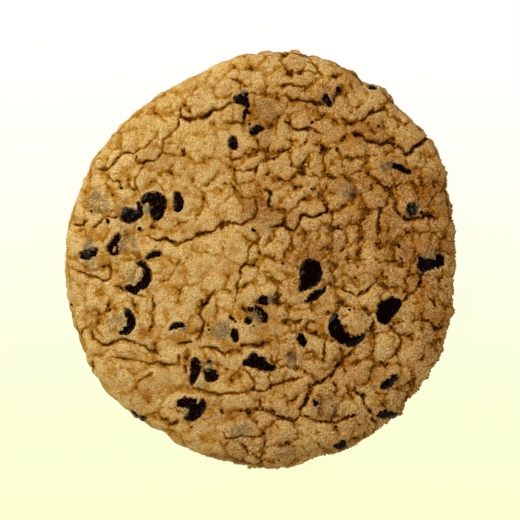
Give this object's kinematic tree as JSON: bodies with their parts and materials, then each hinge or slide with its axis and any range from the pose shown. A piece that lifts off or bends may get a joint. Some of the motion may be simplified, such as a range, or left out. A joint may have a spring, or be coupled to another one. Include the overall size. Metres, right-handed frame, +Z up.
{
  "type": "chocolate chip cookie",
  "caption": "Round baked cookie with a cracked, lumpy top, rounded sides, a flat underside and dark chocolate chips showing in the dough.",
  "frame": {"origin": "centre of the bounding box, on the flat underside", "axes": "+Z up through the thickness, out of the cracked top; +Y along the slightly longer way across"},
  "size_m": [0.0973, 0.1039, 0.013],
  "materials": {
    "dough": "matt golden-brown baked dough, rough and granular",
    "chocolate": "dark chocolate, satin with a slight bloom"
  },
  "bodies": {
    "root": {"dough": "dough", "chip_hooked": "chocolate", "chip_lobed": "chocolate", "chip_lens": "chocolate", "chip_ragged": "chocolate", "chip_far_left": "chocolate", "chip_sliver_left": "chocolate", "chip_crescent_left": "chocolate", "chip_crescent_low": "chocolate", "chip_sliver_low": "chocolate", "chip_edge_on": "chocolate", "chip_half_sunk": "chocolate", "chip_dot": "chocolate", "chip_square": "chocolate", "chip_tall": "chocolate", "chip_blade": "chocolate", "chip_crescent_right": "chocolate", "chip_slab": "chocolate", "chip_far_right": "chocolate", "chip_ridge": "chocolate", "chip_dusty": "chocolate", "chip_upper": "chocolate", "chip_bean": "chocolate", "chip_wedge": "chocolate", "chip_high_right": "chocolate", "chip_post": "chocolate", "chip_block": "chocolate", "chip_wing": "chocolate", "chip_broad": "chocolate", "chip_short": "chocolate", "chip_seed": "chocolate", "chip_crumb": "chocolate", "chip_rim_top": "chocolate", "chip_rim_front": "chocolate", "chip_rim_right": "chocolate", "chip_rim_left": "chocolate", "chip_rim_left_low": "chocolate"}
  },
  "joints": []
}
